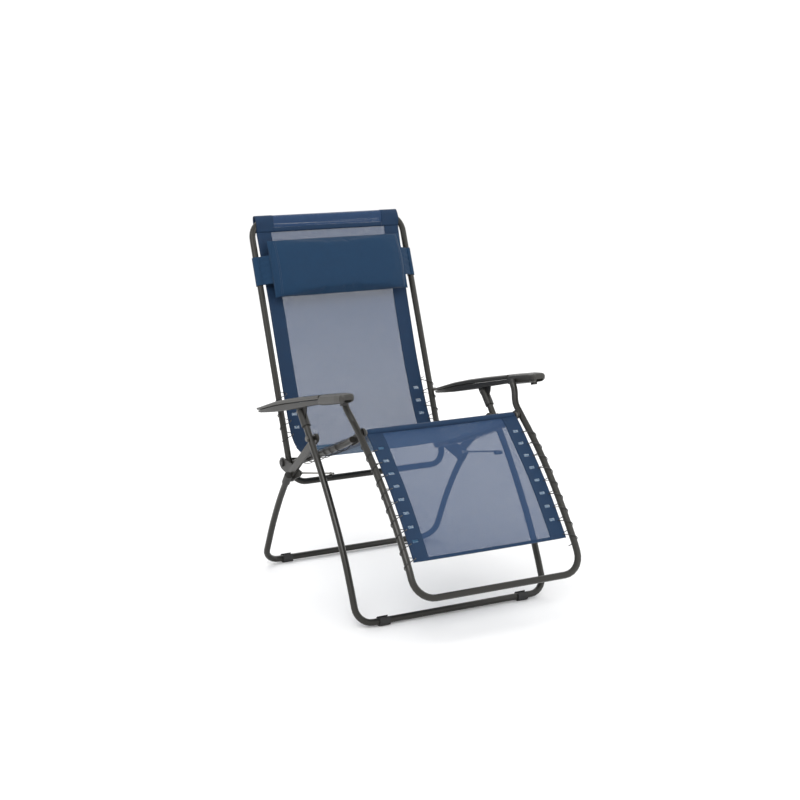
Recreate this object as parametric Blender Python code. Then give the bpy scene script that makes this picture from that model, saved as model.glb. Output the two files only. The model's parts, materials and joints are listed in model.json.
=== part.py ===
"""Zero gravity recliner: folding steel frame, laced mesh fabric, headrest pillow and sliding armrests."""

import math

import bmesh
import bpy
import numpy as np
from mathutils import Matrix, Vector

NAME = "zero_gravity_recliner"

# driving dimensions, metres; Y runs from the foot end to the back, Z is up
TUBE_R = 0.010  # all frame tubes
GAP = 0.0003  # clearance between touching pieces
SIDE_X = 0.272  # backrest, seat and legrest tubes
FRONT_LEG_X = 0.319
REAR_LEG_X = 0.314
ARM_X = 0.320  # middle of each armrest
Y_SHIFT = 0.0478  # puts the middle of the resting chair over the origin
FLOOR_BAR_Z = 0.0135

# side-view pivots (y, z)
LEG_PIVOT = (-0.035, 0.500)
HIP = (0.228, 0.362)
KNEE = (-0.262, 0.558)
ARM_REAR = (0.305, 0.530)
SLIDER = (0.028, 0.570)
STAY = (0.105, 0.358)
STAY_GUIDE = (-0.098, 0.404)
LEVER = (-0.158, 0.6270)

# folding axes, each on an eccentric pin 4 mm off the pivot that the reclining turns about
HIP_FOLD = (HIP[0] - 0.0028, HIP[1] + 0.0028)
KNEE_FOLD = (KNEE[0] - 0.0040, KNEE[1])
ARM_FOLD = (ARM_REAR[0] + 0.0028, ARM_REAR[1] - 0.0028)

BACK_LEAN = math.atan(0.384)  # backrest from vertical
BACK_TOP = 1.095  # centre of the top bar
BACK_BOTTOM = 0.301  # centre of the lower bar
ARM_TILT = math.atan2(0.115, 0.490)
FABRIC_T = 0.003
FABRIC_HALF = 0.2405
LACE_R = 0.0014
LACE_PITCH = 0.043
PILLOW_HALF = 0.230

STEEL = ("bronze_grey_steel", (0.066, 0.062, 0.050), 0.42, 0.55)
BLACK = ("black_plastic", (0.018, 0.018, 0.020), 0.55, 0.0)
ZINC = ("zinc_rod", (0.30, 0.30, 0.29), 0.35, 0.9)
RIVET = ("dark_rivet", (0.045, 0.043, 0.040), 0.40, 0.7)
NAVY = ("navy_fabric", (0.022, 0.056, 0.145), 0.85, 0.0)
MESH = ("blue_grey_mesh", (0.105, 0.125, 0.200), 0.80, 0.0)
CANVAS = ("blue_canvas", (0.025, 0.065, 0.125), 0.90, 0.0)
CORD = ("black_elastic", (0.012, 0.012, 0.013), 0.75, 0.0)
ARM = ("black_grey_armrest", (0.030, 0.030, 0.032), 0.50, 0.0)


def clear_scene():
    for obj in list(bpy.data.objects):
        bpy.data.objects.remove(obj, do_unlink=True)


clear_scene()
scene = bpy.context.scene
parts = bpy.data.collections.new(NAME)
cutters = bpy.data.collections.new("cutters")
scene.collection.children.link(parts)
scene.collection.children.link(cutters)


def material(spec):
    name, colour, roughness, metallic = spec
    mat = bpy.data.materials.new(name)
    mat.use_nodes = True
    shader = mat.node_tree.nodes["Principled BSDF"]
    shader.inputs["Base Color"].default_value = (*colour, 1)
    shader.inputs["Roughness"].default_value = roughness
    shader.inputs["Metallic"].default_value = metallic
    return mat


def put(name, bm, spec, origin, smooth=True):
    """Store a bmesh drawn in world coordinates as an object whose origin is at origin."""
    bmesh.ops.recalc_face_normals(bm, faces=bm.faces)
    for face in bm.faces:
        face.smooth = smooth
    mesh = bpy.data.meshes.new(name)
    bm.to_mesh(mesh)
    bm.free()
    if smooth:
        mesh.set_sharp_from_angle(angle=math.radians(38))
    mesh.transform(Matrix.Translation(-Vector(origin)))
    mesh.materials.append(material(spec))
    obj = bpy.data.objects.new(name, mesh)
    obj.location = Vector(origin) + Vector((0, Y_SHIFT, 0))
    parts.objects.link(obj)
    return obj


def axis_point(pivot):
    return (0.0, pivot[0], pivot[1])


def rounded(points, radii, closed=False, step=math.radians(12)):
    """The polyline with an arc of the given radius at each inner corner."""
    pts = [Vector(p) for p in points]
    n = len(pts)
    out = []
    for i, p in enumerate(pts):
        r = radii[i]
        if (not closed and i in (0, n - 1)) or r == 0:
            out.append(p)
            continue
        a = (pts[i - 1] - p).normalized()
        b = (pts[(i + 1) % n] - p).normalized()
        half = a.angle(b) / 2
        turn = math.pi - 2 * half
        if turn < 1e-3:
            out.append(p)
            continue
        centre = p + (a + b).normalized() * (r / math.sin(half))
        start = p + a * (r / math.tan(half))
        axis = a.cross(b).normalized()
        steps = max(2, round(turn / step))
        for k in range(steps + 1):
            spin = Matrix.Rotation(-turn * k / steps, 3, axis)
            out.append(centre + spin @ (start - centre))
    return out


def spline(points, count):
    """Points spread along a smooth curve through the given points."""
    pts = np.array(points, float)
    ext = np.vstack([2 * pts[0] - pts[1], pts, 2 * pts[-1] - pts[-2]])
    out = []
    for i in range(len(pts) - 1):
        p0, p1, p2, p3 = ext[i : i + 4]
        for t in np.linspace(0, 1, count, endpoint=False):
            a = 2 * p1 + (p2 - p0) * t
            b = (2 * p0 - 5 * p1 + 4 * p2 - p3) * t**2
            c = (3 * p1 - p0 - 3 * p2 + p3) * t**3
            out.append(0.5 * (a + b + c))
    out.append(pts[-1])
    return [Vector(p) for p in out]


def sweep(points, radius, closed=False, resolution=5):
    """A bmesh of a round bar along the points."""
    curve = bpy.data.curves.new("bar", "CURVE")
    curve.dimensions = "3D"
    curve.bevel_depth = radius
    curve.bevel_resolution = resolution
    curve.use_fill_caps = not closed
    line = curve.splines.new("POLY")
    line.points.add(len(points) - 1)
    for item, p in zip(line.points, points):
        item.co = (*p, 1)
    line.use_cyclic_u = closed
    obj = bpy.data.objects.new("bar", curve)
    scene.collection.objects.link(obj)
    bpy.context.view_layer.update()
    graph = bpy.context.evaluated_depsgraph_get()
    mesh = bpy.data.meshes.new_from_object(obj.evaluated_get(graph))
    bm = bmesh.new()
    bm.from_mesh(mesh)
    bmesh.ops.remove_doubles(bm, verts=bm.verts, dist=1e-6)
    bpy.data.objects.remove(obj, do_unlink=True)
    bpy.data.meshes.remove(mesh)
    return bm


def loft(rings):
    """A closed solid through rings of equal length, with flat ends."""
    bm = bmesh.new()
    rows = [[bm.verts.new(p) for p in ring] for ring in rings]
    for low, high in zip(rows, rows[1:]):
        for i in range(len(low)):
            j = (i + 1) % len(low)
            bm.faces.new((low[i], low[j], high[j], high[i]))
    bm.faces.new(rows[0][::-1])
    bm.faces.new(rows[-1])
    return bm


def cylinder(x0, x1, pivot, radius, sides=24, bevel=0.0):
    """A round piece along X between x0 and x1, centred on a side-view point."""
    rings = []
    stations = [(x0, radius), (x1, radius)]
    if bevel:
        stations = [(x0, radius), (x1 - math.copysign(bevel, x1 - x0), radius), (x1, radius - bevel)]
    for x, r in stations:
        ring = []
        for k in range(sides):
            a = 2 * math.pi * k / sides
            ring.append((x, pivot[0] + r * math.cos(a), pivot[1] + r * math.sin(a)))
        rings.append(ring)
    return loft(rings)


def plate(x0, x1, outline):
    """A flat plate between x0 and x1 with the given side-view outline."""
    return loft([[(x, y, z) for y, z in outline] for x in (x0, x1)])


def hull_outline(circles, sides=28):
    """The side-view outline round a set of circles (y, z, radius)."""
    pts = []
    for y, z, r in circles:
        for k in range(sides):
            a = 2 * math.pi * k / sides
            pts.append((y + r * math.cos(a), z + r * math.sin(a)))
    pts = sorted(set((round(a, 7), round(b, 7)) for a, b in pts))

    def half(seq):
        out = []
        for p in seq:
            while len(out) > 1:
                (ax, ay), (bx, by) = out[-2:]
                if (bx - ax) * (p[1] - ay) - (by - ay) * (p[0] - ax) > 0:
                    break
                out.pop()
            out.append(p)
        return out[:-1]

    return half(pts) + half(pts[::-1])


def combine(first, second, operation):
    """The Boolean of two bmeshes, as a bmesh."""
    objs = []
    for bm in (first, second):
        bmesh.ops.recalc_face_normals(bm, faces=bm.faces)
        mesh = bpy.data.meshes.new("cut")
        bm.to_mesh(mesh)
        bm.free()
        obj = bpy.data.objects.new("cut", mesh)
        scene.collection.objects.link(obj)
        objs.append(obj)
    mod = objs[0].modifiers.new("cut", "BOOLEAN")
    mod.operation = operation
    mod.solver = "EXACT"
    mod.object = objs[1]
    bpy.context.view_layer.update()
    graph = bpy.context.evaluated_depsgraph_get()
    mesh = bpy.data.meshes.new_from_object(objs[0].evaluated_get(graph))
    out = bmesh.new()
    out.from_mesh(mesh)
    bmesh.ops.remove_doubles(out, verts=out.verts, dist=1e-6)
    for obj in objs:
        bpy.data.objects.remove(obj, do_unlink=True)
    return out


def box(x, y, z):
    (x0, x1), (y0, y1), (z0, z1) = x, y, z
    ring = [(x0, y0), (x1, y0), (x1, y1), (x0, y1)]
    return loft([[(a, b, c) for a, b in ring] for c in (z0, z1)])


def mirrored(bm):
    """The bmesh on the other side of the chair."""
    out = bm.copy()
    bmesh.ops.transform(out, matrix=Matrix.Scale(-1, 4, (1, 0, 0)), verts=out.verts)
    return out


def pair(name, bm, spec, pivot, smooth=True):
    """Both sides of a piece: right is at +X, left at -X."""
    other = mirrored(bm)
    right = put(name + "_right", bm, spec, (0.0, *pivot), smooth)
    left = put(name + "_left", other, spec, (0.0, *pivot), smooth)
    return left, right


# ---------------------------------------------------------------- front leg
front_profile = [
    (0.0041, 0.5430),
    (-0.045, 0.4850),
    (-0.105, 0.4150),
    (-0.185, 0.3060),
    (-0.2550, 0.1950),
    (-0.3000, 0.1050),
]
front_side = spline([(FRONT_LEG_X, y, z) for y, z in front_profile], 4)
front_corner = [(FRONT_LEG_X, -0.3400, FLOOR_BAR_Z), (-FRONT_LEG_X, -0.3400, FLOOR_BAR_Z)]
mirror_side = [Vector((-p.x, p.y, p.z)) for p in front_side][::-1]
path = list(front_side) + [Vector(p) for p in front_corner] + mirror_side
radii = [0] * len(front_side) + [0.050, 0.050] + [0] * len(mirror_side)
ROOT = (0.0, 0.0, 0.0)
put("front_leg_frame", sweep(rounded(path, radii), TUBE_R), STEEL, ROOT)

# ---------------------------------------------------------------- rear leg
rear_profile = [
    (0.1620, 0.3175),
    (0.1900, 0.2800),
    (0.2170, 0.2410),
    (0.2650, 0.1620),
    (0.3050, 0.0830),
]
rear_side = spline([(REAR_LEG_X, y, z) for y, z in rear_profile], 4)
rear_corner = [(REAR_LEG_X, 0.3400, FLOOR_BAR_Z), (-REAR_LEG_X, 0.3400, FLOOR_BAR_Z)]
mirror_side = [Vector((-p.x, p.y, p.z)) for p in rear_side][::-1]
path = list(rear_side) + [Vector(p) for p in rear_corner] + mirror_side
radii = [0] * len(rear_side) + [0.050, 0.050] + [0] * len(mirror_side)
fold_axis = axis_point(LEG_PIVOT)
put("rear_leg_frame", sweep(rounded(path, radii), TUBE_R), STEEL, fold_axis)


def foot(y, x):
    """A plastic clip round a floor bar, flat underneath."""
    ring = []
    half = 0.0145
    for k in range(24):
        a = 2 * math.pi * (k + 0.5) / 24
        ring.append((y + half * math.cos(a), max(0.0, FLOOR_BAR_Z + half * math.sin(a))))
    bm = plate(x - 0.017, x + 0.017, ring)
    bore = cylinder(x - 0.02, x + 0.02, (y, FLOOR_BAR_Z), TUBE_R + GAP, 28)
    slot = box((x - 0.02, x + 0.02), (y - 0.0065, y + 0.0065), (FLOOR_BAR_Z, FLOOR_BAR_Z + 0.03))
    return combine(combine(bm, bore, "DIFFERENCE"), slot, "DIFFERENCE")


for label, y, axis in (("front", -0.3400, ROOT), ("rear", 0.3400, fold_axis)):
    for side, sign in (("left", -1), ("right", 1)):
        put(f"{label}_foot_{side}", foot(y, sign * 0.235), BLACK, axis)

# ------------------------------------------------------- hip bracket and upper link
upper = np.array(LEG_PIVOT)
lower = np.array((0.1460, 0.3520))
link = plate(0.2965, 0.3045, hull_outline([(*upper, 0.0130), (*lower, 0.0130)]))
link = combine(link, cylinder(0.3040, 0.3087, LEG_PIVOT, 0.0065), "UNION")
pair("leg_link", link, STEEL, LEG_PIVOT)

rear_dir = np.array((0.1620 - 0.1900, 0.3175 - 0.2800))
rear_dir /= np.linalg.norm(rear_dir)
sleeve_low = np.array((0.1620, 0.3175)) + rear_dir * GAP
sleeve_high = sleeve_low + rear_dir * 0.036
sleeve = sweep(
    [Vector((REAR_LEG_X, *sleeve_low)), Vector((REAR_LEG_X, *sleeve_high))], 0.0128, resolution=6
)
web = plate(0.2917, 0.2962, hull_outline([(*HIP, 0.0190), (*STAY, 0.0110), (0.1500, 0.3420, 0.0140)]))
hole = cylinder(0.28, 0.31, HIP_FOLD, 0.0063)
web = combine(web, hole, "DIFFERENCE")
bridge = plate(0.2950, 0.3120, hull_outline([(*(sleeve_low + rear_dir * 0.018), 0.0105)]))
bracket = combine(combine(web, bridge, "UNION"), sleeve, "UNION")
trim = plate(0.29625, 0.3048, hull_outline([(*upper, 0.0133), (*lower, 0.0133)]))
bracket = combine(bracket, trim, "DIFFERENCE")
pair("hip_bracket", bracket, BLACK, LEG_PIVOT)

# bolts on the axis where the upper link swings on the front leg
head = cylinder(0.3293, 0.3345, LEG_PIVOT, 0.0085, bevel=0.0015)
pair("leg_pivot_bolt", head, RIVET, LEG_PIVOT)

# ---------------------------------------------------------------- backrest
lean = Vector((0, math.sin(BACK_LEAN), math.cos(BACK_LEAN)))


def on_back(x, z):
    return Vector((x, HIP[0] + 0.384 * (z - HIP[1]), z))


loop = [
    on_back(SIDE_X, BACK_BOTTOM),
    on_back(SIDE_X, BACK_TOP),
    on_back(-SIDE_X, BACK_TOP),
    on_back(-SIDE_X, BACK_BOTTOM),
]
loop = rounded(loop, [0.048, 0.062, 0.062, 0.048], closed=True, step=math.radians(9))
put("backrest_frame", sweep(loop, TUBE_R, closed=True), STEEL, axis_point(HIP))

pin = cylinder(0.2823, 0.3010, HIP_FOLD, 0.0060)
collar = cylinder(0.2823, 0.2912, HIP_FOLD, 0.0105)
cap = cylinder(0.2966, 0.3025, HIP_FOLD, 0.0125, bevel=0.002)
pin = combine(combine(pin, collar, "UNION"), cap, "UNION")
pair("hip_pin", pin, BLACK, HIP_FOLD)

# ---------------------------------------------------------------- seat rails
rail_points = [(0.1840, 0.3720), (0.0730, 0.4120), (-0.0690, 0.4660), (-0.1700, 0.5070), (-0.2200, 0.5310)]
rail_line = spline([(SIDE_X, y, z) for y, z in rail_points], 4)
rail = sweep(rail_line, TUBE_R)
tab_outline = hull_outline([(*HIP, 0.0140), (0.1850, 0.3750, 0.0100), (0.1500, 0.3860, 0.0080)])
rear_tab = plate(0.2555, 0.2612, tab_outline)
weld_outline = hull_outline([(0.1700, 0.3795, 0.0075), (0.1550, 0.3845, 0.0075)])
rail = combine(rail, plate(0.2555, 0.2680, weld_outline), "UNION")
rail = combine(rail, rear_tab, "UNION")
pair("seat_rail", rail, STEEL, HIP)

# seat pivot cap on the inner side of the rear tab
pair("seat_pivot", cylinder(0.2552, 0.2510, HIP, 0.0095, bevel=0.0012), RIVET, HIP)

# knee gussets joined to the front of the rails
gusset = plate(
    0.2555,
    0.2612,
    hull_outline([(*KNEE, 0.0135), (-0.1950, 0.5185, 0.0125), (-0.2180, 0.5310, 0.0140)]),
)
lug = plate(0.2600, 0.2640, hull_outline([(-0.1950, 0.5185, 0.0060), (-0.2150, 0.5275, 0.0060)]))
gusset = combine(gusset, lug, "UNION")
trim = sweep(rail_line, TUBE_R + GAP)
gusset = combine(gusset, trim, "DIFFERENCE")
pair("knee_gusset", gusset, BLACK, HIP)
pair("knee_pin", cylinder(0.2552, 0.2505, KNEE_FOLD, 0.0090, bevel=0.0012), RIVET, KNEE_FOLD)

# ---------------------------------------------------------------- legrest
leg_side = spline(
    [
        (0.2845, -0.1950, 0.6380),
        (0.2835, -0.2080, 0.6180),
        (0.2740, -0.2300, 0.5850),
        (SIDE_X, -0.2620, 0.5580),
        (SIDE_X, -0.3390, 0.4940),
        (SIDE_X, -0.4090, 0.4260),
        (SIDE_X, -0.4710, 0.3560),
        (SIDE_X, -0.5250, 0.2880),
        (SIDE_X, -0.5650, 0.2330),
    ],
    4,
)
leg_corner = [(SIDE_X, -0.6080, 0.1600), (-SIDE_X, -0.6080, 0.1600)]
mirror_side = [Vector((-p.x, p.y, p.z)) for p in leg_side][::-1]
path = list(leg_side) + [Vector(p) for p in leg_corner] + mirror_side
radii = [0] * len(leg_side) + [0.062, 0.062] + [0] * len(mirror_side)
put("legrest_frame", sweep(rounded(path, radii), TUBE_R), STEEL, axis_point(KNEE))
leg_top = leg_side[0]
leg_up = (leg_side[0] - leg_side[1]).normalized()
collar = sweep([leg_top + leg_up * GAP, leg_top + leg_up * 0.0120], 0.0104)
pair("legrest_collar", collar, BLACK, KNEE)

# ---------------------------------------------------------------- armrests
tilt = math.tan(ARM_TILT)


def arm_z(y, above):
    """Height of a line parallel to the armrest, above the pivot line."""
    return ARM_REAR[1] + tilt * (ARM_REAR[0] - y) + above


def arm_ring(y, half, low, high, centre, sides=20, power=3.2):
    """A rounded cross-section of an armrest piece."""
    ring = []
    mid = (low + high) / 2
    tall = (high - low) / 2
    for k in range(sides):
        a = 2 * math.pi * (k + 0.5) / sides
        c, s = math.cos(a), math.sin(a)
        px = centre + half * math.copysign(abs(c) ** (2 / power), c)
        pz = mid + tall * math.copysign(abs(s) ** (2 / power), s)
        ring.append((px, y, arm_z(y, pz)))
    return ring


def arm_piece(stations):
    return loft([arm_ring(*s, ARM_X) for s in stations])


# stations: (y, half width, underside, top), heights measured from the pivot line
shell = arm_piece([
    (0.3380, 0.0120, -0.0060, 0.0000),
    (0.3300, 0.0165, -0.0075, 0.0015),
    (0.3000, 0.0200, -0.0065, 0.0035),
    (0.2500, 0.0225, -0.0040, 0.0085),
    (0.1900, 0.0243, 0.0000, 0.0140),
    (0.1000, 0.0250, 0.0030, 0.0182),
    (0.0000, 0.0250, 0.0040, 0.0197),
    (-0.1420, 0.0250, 0.0055, 0.0194),
])
pair("armrest_shell", shell, ARM, ARM_REAR)

block = arm_piece([
    (-0.1426, 0.0246, -0.0125, 0.0190),
    (-0.1450, 0.0250, -0.0130, 0.0198),
    (-0.2500, 0.0250, -0.0140, 0.0180),
    (-0.2800, 0.0235, -0.0130, 0.0150),
    (-0.2880, 0.0200, -0.0105, 0.0120),
    (-0.2920, 0.0140, -0.0060, 0.0070),
])
lever_room = box((0.3090, 0.3310), (-0.2950, -0.1500), (-0.0300, -0.0045))
for v in lever_room.verts:
    v.co.z = arm_z(v.co.y, v.co.z)
block = combine(block, lever_room, "DIFFERENCE")
pair("armrest_front", block, ARM, ARM_REAR)

# the lower rail is a channel open underneath, which the slider runs in
rail_rings = []
for y, half, low, high in (
    (0.3240, 0.0130, -0.0150, -0.0082),
    (0.3000, 0.0165, -0.0165, -0.0071),
    (0.2500, 0.0185, -0.0178, -0.0046),
    (0.1900, 0.0195, -0.0185, -0.0006),
    (0.1000, 0.0195, -0.0165, 0.0024),
    (0.0000, 0.0195, -0.0118, 0.0034),
    (-0.1420, 0.0195, -0.0075, 0.0049),
):
    ring = []
    for x, h in (
        (-half + 0.0020, low),
        (half - 0.0020, low),
        (half, low + 0.0020),
        (half, high),
        (-half, high),
        (-half, low + 0.0020),
    ):
        ring.append((ARM_X + x, y, arm_z(y, h)))
    rail_rings.append(ring)
channel_rings = []
for y in (0.1200, -0.1350):
    ring = []
    for x, h in ((0.3075, -0.0300), (0.3325, -0.0300), (0.3325, 0.0000), (0.3075, 0.0000)):
        ring.append((x, y, arm_z(y, h)))
    channel_rings.append(ring)
lower_rail = combine(loft(rail_rings), loft(channel_rings), "DIFFERENCE")
pair("armrest_rail", lower_rail, BLACK, ARM_REAR, smooth=False)

pair("arm_rear_pin", cylinder(0.2823, 0.2980, ARM_FOLD, 0.0055), RIVET, ARM_FOLD)

# ---------------------------------------------------------------- sliders
half_disc = []
for k in range(19):
    a = math.pi + math.pi * k / 18 - ARM_TILT
    half_disc.append((SLIDER[0] + 0.0375 * math.cos(a), SLIDER[1] + 0.0178 + 0.0375 * math.sin(a)))
web = plate(FRONT_LEG_X - 0.0015, FRONT_LEG_X + 0.0015, half_disc)
shoe = box((0.3088, 0.3312), (SLIDER[0] - 0.026, SLIDER[0] + 0.026), (-0.0078, -0.0050))
for v in shoe.verts:
    v.co.z = arm_z(v.co.y, v.co.z)
slider = combine(web, shoe, "UNION")
slider = combine(slider, cylinder(0.3100, 0.3300, SLIDER, 0.0048), "DIFFERENCE")
pair("arm_slider", slider, BLACK, SLIDER, smooth=False)
pair("slider_pin", cylinder(0.3040, 0.3340, SLIDER, 0.0045, bevel=0.0010), RIVET, SLIDER)

leg_dir = np.array(SLIDER) - np.array(front_profile[0])
leg_dir /= np.linalg.norm(leg_dir)


def along_leg(distance):
    """A point on the front leg's line, measured upwards from the slider pivot."""
    return Vector((FRONT_LEG_X, *(np.array(SLIDER) + leg_dir * distance)))


socket_line = [along_leg(-0.0520), along_leg(-0.0500), along_leg(0.0008), along_leg(0.0036)]
socket = sweep(socket_line, 0.0138, resolution=6)
leg_bore = sweep([along_leg(-0.0600), along_leg(-0.0355)], TUBE_R + 0.0008, resolution=6)
socket = combine(socket, leg_bore, "DIFFERENCE")
fork = sweep([along_leg(-0.0330), along_leg(0.0300)], 0.0300, resolution=6)
for v in fork.verts:  # the round bar pressed flat, to cut the fork's slot
    v.co.x = FRONT_LEG_X + (v.co.x - FRONT_LEG_X) * 0.0733
socket = combine(socket, fork, "DIFFERENCE")
socket = combine(socket, cylinder(0.3000, 0.3400, SLIDER, 0.0048), "DIFFERENCE")
pair("arm_socket", socket, BLACK, (0.0, 0.0))

# lock release levers under the front blocks
lever = box((0.3130, 0.3270), (-0.2560, -0.1560), (-0.0135, -0.0105))
for v in lever.verts:
    v.co.z = arm_z(v.co.y, v.co.z)
tab = box((0.3130, 0.3270), (-0.2660, -0.2520), (-0.0200, -0.0105))
for v in tab.verts:
    v.co.z = arm_z(v.co.y, v.co.z)
lever = combine(lever, tab, "UNION")
pair("lock_lever", lever, BLACK, LEVER, smooth=False)

# ---------------------------------------------------------------- stay rods
guide = np.array(STAY_GUIDE)
stay = np.array(STAY)
run = guide - stay
run /= np.linalg.norm(run)
STAY_X = 0.2886
rod = sweep([Vector((STAY_X, *stay)), Vector((STAY_X, *(guide + run * 0.030)))], 0.0028, resolution=2)
eye = cylinder(0.2860, 0.2914, STAY, 0.0060)
pair("stay_rod", combine(rod, eye, "UNION"), ZINC, STAY)
normal = np.array((-run[1], run[0]))
if normal[1] > 0:
    normal = -normal
saddle = cylinder(0.2850, 0.3087, tuple(guide + normal * 0.0075), 0.0035)
lip = cylinder(0.2832, 0.2856, tuple(guide + normal * 0.0040), 0.0075)
saddle = combine(saddle, lip, "UNION")
pair("stay_guide", saddle, BLACK, (0.0, 0.0))

# ---------------------------------------------------------------- fabric panels


def panel(profile, half, thickness=FABRIC_T):
    """A cloth panel between both sides, along a side-view profile."""
    pts = [np.array(p, float) for p in profile]
    rings = []
    for i, p in enumerate(pts):
        a = pts[max(i - 1, 0)]
        b = pts[min(i + 1, len(pts) - 1)]
        t = (b - a) / np.linalg.norm(b - a)
        n = np.array((-t[1], t[0])) * thickness / 2
        ring = []
        for sx, sn in ((-1, -1), (1, -1), (1, 1), (-1, 1)):
            q = p + sn * n
            ring.append((sx * half, q[0], q[1]))
        rings.append(ring)
    return loft(rings)


def smooth_profile(points, count=4):
    return [(p.y, p.z) for p in spline([(0, y, z) for y, z in points], count)]


def back_line(z, sag=0.0):
    return (HIP[0] + 0.384 * (z - HIP[1]) + sag, z - 0.384 * sag)


back_profile = smooth_profile([
    back_line(0.4150, 0.003),
    back_line(0.4700, 0.008),
    back_line(0.6000, 0.012),
    back_line(0.8000, 0.008),
    back_line(1.0350, 0.000),
])
put("back_fabric", panel(back_profile, FABRIC_HALF), MESH, axis_point(HIP))

seat_profile = smooth_profile([
    (0.2050, 0.4035),
    (0.1850, 0.3995),
    (0.1500, 0.3975),
    (0.1100, 0.4020),
    (0.0730, 0.4095),
    (0.0000, 0.4365),
    (-0.0690, 0.4625),
    (-0.1700, 0.5035),
    (-0.2200, 0.5275),
    (-0.2350, 0.5335),
])
put("seat_fabric", panel(seat_profile, FABRIC_HALF), MESH, axis_point(HIP))

leg_profile = smooth_profile([
    (-0.2660, 0.5540),
    (-0.3390, 0.4900),
    (-0.4090, 0.4210),
    (-0.4710, 0.3510),
    (-0.5250, 0.2830),
    (-0.5480, 0.2520),
])
put("legrest_fabric", panel(leg_profile, FABRIC_HALF), MESH, axis_point(KNEE))

# cloth sleeve sewn round the top bar
sleeve_half = 0.208
front = 0.0128
sleeve_rings = []
for x in (-sleeve_half, sleeve_half):
    ring = []
    for k in range(20):
        a = 2 * math.pi * k / 20
        inner = Vector((0, front * math.cos(a), front * math.sin(a)))
        centre = on_back(0, BACK_TOP)
        ring.append((x, centre.y + inner.y, centre.z + inner.z))
    sleeve_rings.append(ring)
sleeve = loft(sleeve_rings)
bore = []
for x in (-0.25, 0.25):
    ring = []
    for k in range(20):
        a = 2 * math.pi * k / 20
        centre = on_back(0, BACK_TOP)
        ring.append((x, centre.y + 0.0106 * math.cos(a), centre.z + 0.0106 * math.sin(a)))
    bore.append(ring)
sleeve = combine(sleeve, loft(bore), "DIFFERENCE")
hang_low = on_back(0, 1.0400)
hang_high = on_back(0, BACK_TOP - 0.0115)
hang = panel([(hang_low.y, hang_low.z), (hang_high.y, hang_high.z)], sleeve_half)
sleeve = combine(sleeve, hang, "UNION")
put("top_sleeve", sleeve, NAVY, axis_point(HIP))

# ---------------------------------------------------------------- headrest pillow
normal_back = Vector((0, -math.cos(BACK_LEAN), math.sin(BACK_LEAN)))
pillow_mid = on_back(0, 0.9420)
rings = []
for k in range(13):
    u = -1 + 2 * k / 12
    edge = max(0.0, 1 - abs(u) ** 7) ** 0.5
    ring = []
    for i in range(20):
        a = 2 * math.pi * i / 20
        c, s = math.cos(a), math.sin(a)
        along = 0.096 * math.copysign(abs(c) ** 0.55, c) * (0.90 + 0.10 * edge)
        out = 0.026 * math.copysign(abs(s) ** 0.75, s) * (0.12 + 0.88 * edge)
        p = pillow_mid + lean * along + normal_back * (out + 0.0315)
        ring.append((u * PILLOW_HALF, p.y, p.z))
    rings.append(ring)
slide_origin = (0.0, pillow_mid.y, pillow_mid.z)
put("headrest_pillow", loft(rings), CANVAS, slide_origin)

# elastic loops hold the pillow to the side tubes


def strap_loop(sign):
    outer, inner = [], []
    for along in (-0.045, 0.045):
        for store, grow in ((outer, 0.0020), (inner, 0.0)):
            ring = []
            for x, n in (
                (0.2428, 0.0120),
                (0.2720, 0.0120),
                (0.2810, 0.0085),
                (0.2842, 0.0),
                (0.2810, -0.0085),
                (0.2720, -0.0120),
                (0.2428, -0.0120),
            ):
                px = x + (grow if x > 0.2720 else (-grow if x < 0.25 else 0))
                pn = n + math.copysign(grow if n else 0.0, n)
                p = pillow_mid + lean * along * (1.0 if store is outer else 1.2) + normal_back * pn
                ring.append((sign * px, p.y, p.z))
            store.append(ring)
    return combine(loft(outer), loft(inner), "DIFFERENCE")


for side, sign in (("left", -1), ("right", 1)):
    put(f"pillow_strap_{side}", strap_loop(sign), CANVAS, slide_origin)

# ---------------------------------------------------------------- elastic lacing


def lacing(line, half_x=0.26350, reach=0.02060, rise=0.0148, steps=14):
    """Cord wound round a side tube and through the slots in the cloth edge."""
    pts = [np.array(p, float) for p in line]
    seg = [np.linalg.norm(b - a) for a, b in zip(pts, pts[1:])]
    total = sum(seg)
    turns = total / LACE_PITCH
    marks = np.concatenate([[0], np.cumsum(seg)])
    ys = [p[0] for p in pts]
    zs = [p[1] for p in pts]
    path = []
    count = int(turns * steps)
    for k in range(count + 1):
        s = total * k / count
        y = np.interp(s, marks, ys)
        z = np.interp(s, marks, zs)
        e = 0.002
        dy = np.interp(min(s + e, total), marks, ys) - np.interp(max(s - e, 0), marks, ys)
        dz = np.interp(min(s + e, total), marks, zs) - np.interp(max(s - e, 0), marks, zs)
        norm = math.hypot(dy, dz)
        ny, nz = -dz / norm, dy / norm
        a = 2 * math.pi * turns * k / count
        x = half_x + reach * math.cos(a)
        out = rise * math.sin(a)
        path.append(Vector((x, y + ny * out, z + nz * out)))
    return sweep(path, LACE_R, resolution=0)


back_lace = [(on_back(0, z).y, z) for z in np.linspace(0.425, 0.575, 14)]
pair("back_lacing", lacing(back_lace), CORD, HIP)
seat_lace_points = ((0.115, 0.3969), (0.073, 0.412), (-0.069, 0.466), (-0.165, 0.505))
seat_lace = [(p.y, p.z) for p in spline([(0, y, z) for y, z in seat_lace_points], 8)]
pair("seat_lacing", lacing(seat_lace), CORD, HIP)
leg_lace = [(p.y, p.z) for p in leg_side if p.z < 0.53]
pair("legrest_lacing", lacing(leg_lace), CORD, KNEE)
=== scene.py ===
"""Looks of the zero gravity recliner: mesh fabric, hems, lacing, pillow, coated steel and moulded plastic."""

import json
import math

import bmesh
import bpy
import numpy as np
from mathutils import Matrix, Vector
from mathutils.bvhtree import BVHTree


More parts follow.
